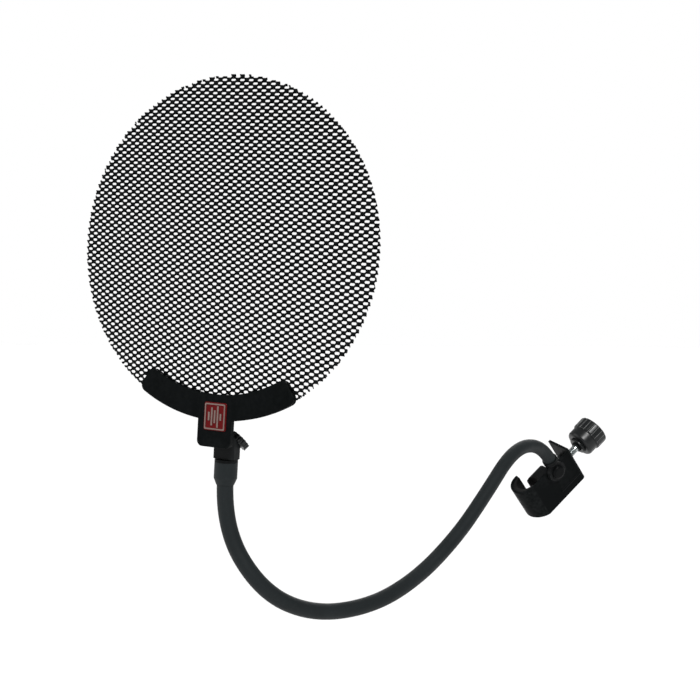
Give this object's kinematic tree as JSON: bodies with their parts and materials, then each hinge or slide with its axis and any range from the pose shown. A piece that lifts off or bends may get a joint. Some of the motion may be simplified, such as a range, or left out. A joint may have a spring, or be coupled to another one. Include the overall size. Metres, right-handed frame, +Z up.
{
  "type": "microphone pop filter",
  "caption": "Round expanded-metal pop filter on a flexible gooseneck, with a hook-and-screw clamp for a round microphone stand tube and a thumbscrew swivel behind the screen.",
  "frame": {"origin": "centre of the clamped stand tube, where the tube's axis crosses the clamp screw's axis", "axes": "+Z up, -Y out of the front of the screen towards the voice, +X to the right of someone who faces the screen"},
  "size_m": [0.2465, 0.3496, 0.328],
  "materials": {
    "screen_mesh": "satin black powder coat",
    "saddle_paint": "satin black powder coat",
    "bracket_paint": "satin black powder coat",
    "blackened_steel": "black oxide, semi-gloss",
    "badge_red": "red enamel",
    "badge_silver": "satin",
    "black_plastic": "fine moulded texture",
    "knob_plastic": "moulded, semi-gloss",
    "nylon": "natural nylon",
    "zinc_steel": "bright zinc",
    "sheath_pvc": "matte soft PVC",
    "neck_steel": "plain steel",
    "rubber": "matte",
    "brass": "machined"
  },
  "bodies": {
    "clamp": {"clamp_bracket": "bracket_paint", "jaw_liner": "rubber", "clamp_nut": "blackened_steel", "base_pivot": "blackened_steel", "base_washer": "nylon"},
    "pad": {"pressure_pad": "black_plastic", "pad_facing": "rubber"},
    "screw": {"clamp_screw": "zinc_steel", "screw_collar": "blackened_steel", "clamp_knob": "knob_plastic", "knob_insert": "brass", "knob_cap": "knob_plastic"},
    "neck_1": {"base_ferrule": "blackened_steel", "gooseneck_core_1": "neck_steel", "gooseneck_sheath_1": "sheath_pvc"},
    "neck_2": {"gooseneck_core_2": "neck_steel", "gooseneck_sheath_2": "sheath_pvc"},
    "neck_3": {"gooseneck_core_3": "neck_steel", "gooseneck_sheath_3": "sheath_pvc"},
    "neck_4": {"gooseneck_core_4": "neck_steel", "gooseneck_sheath_4": "sheath_pvc"},
    "neck_5": {"gooseneck_core_5": "neck_steel", "gooseneck_sheath_5": "sheath_pvc"},
    "neck_6": {"gooseneck_core_6": "neck_steel", "gooseneck_sheath_6": "sheath_pvc"},
    "neck_7": {"gooseneck_core_7": "neck_steel", "gooseneck_sheath_7": "sheath_pvc", "top_ferrule": "blackened_steel", "top_sleeve": "sheath_pvc"},
    "screen": {"mesh_screen": "screen_mesh", "saddle_front": "saddle_paint", "saddle_back": "saddle_paint", "tab_shim": "saddle_paint", "saddle_rivets": "blackened_steel", "badge_plate": "badge_red", "badge_emblem": "badge_silver", "block_screws": "blackened_steel", "swivel_block": "black_plastic"},
    "lock_tip": {"lock_tip": "nylon"},
    "thumbscrew": {"lock_screw": "zinc_steel", "thumb_knob": "knob_plastic"}
  },
  "joints": [
    {"name": "pad_slide", "type": "slide", "parent": "clamp", "child": "pad", "axis": [0.5273, 0.5323, 0.6623], "range_m": [-0.004, 0.012]},
    {"name": "clamp_screw_turn", "type": "hinge", "parent": "pad", "child": "screw", "pos_m": [0.01582, 0.01597, 0.01987], "axis": [0.5273, 0.5323, 0.6623], "range_deg": [-1440.4, 4320.4]},
    {"name": "base_swivel", "type": "hinge", "parent": "clamp", "child": "neck_1", "pos_m": [0.01986, -0.00382, 0.01852], "axis": [-0.8215, 0.5186, 0.2372], "range_deg": [-25, 25]},
    {"name": "neck_flex_1", "type": "hinge", "parent": "neck_1", "child": "neck_2", "pos_m": [0.0085, -0.04373, 0.04099], "axis": [-0.9725, 0.233, 0], "range_deg": [-20, 20]},
    {"name": "neck_flex_2", "type": "hinge", "parent": "neck_2", "child": "neck_3", "pos_m": [-0.0105, -0.1165, -0.00225], "axis": [0.1725, 0.5748, -0.7999], "range_deg": [-20, 20]},
    {"name": "neck_flex_3", "type": "hinge", "parent": "neck_3", "child": "neck_4", "pos_m": [-0.0215, -0.1505, -0.025], "axis": [-0.9462, 0.3237, 0], "range_deg": [-20, 20]},
    {"name": "neck_flex_4", "type": "hinge", "parent": "neck_4", "child": "neck_5", "pos_m": [-0.036, -0.18875, -0.042], "axis": [0.1061, 0.2554, -0.961], "range_deg": [-20, 20]},
    {"name": "neck_flex_5", "type": "hinge", "parent": "neck_5", "child": "neck_6", "pos_m": [-0.056, -0.2255, -0.048], "axis": [-0.8247, 0.5655, 0], "range_deg": [-20, 20]},
    {"name": "neck_flex_6", "type": "hinge", "parent": "neck_6", "child": "neck_7", "pos_m": [-0.0765, -0.26, -0.038], "axis": [-0.2082, -0.4165, -0.885], "range_deg": [-20, 20]},
    {"name": "screen_swivel", "type": "hinge", "parent": "neck_7", "child": "screen", "pos_m": [-0.10391, -0.284, 0.05717], "axis": [0.0628, 0, 0.998], "range_deg": [-120, 120]},
    {"name": "lock_tip_slide", "type": "slide", "parent": "screen", "child": "lock_tip", "axis": [0.4943, 0.5514, 0.672], "range_m": [0, 0.0014]},
    {"name": "thumbscrew_turn", "type": "hinge", "parent": "lock_tip", "child": "thumbscrew", "pos_m": [-0.09917, -0.27849, 0.0607], "axis": [0.4943, 0.5514, 0.672], "range_deg": [-0.5, 720.5]}
  ],
  "couplings": [
    {"joint": "clamp_screw_turn", "follows": "pad_slide", "rad_per_m": 6283.2},
    {"joint": "thumbscrew_turn", "follows": "lock_tip_slide", "rad_per_m": 8976}
  ]
}
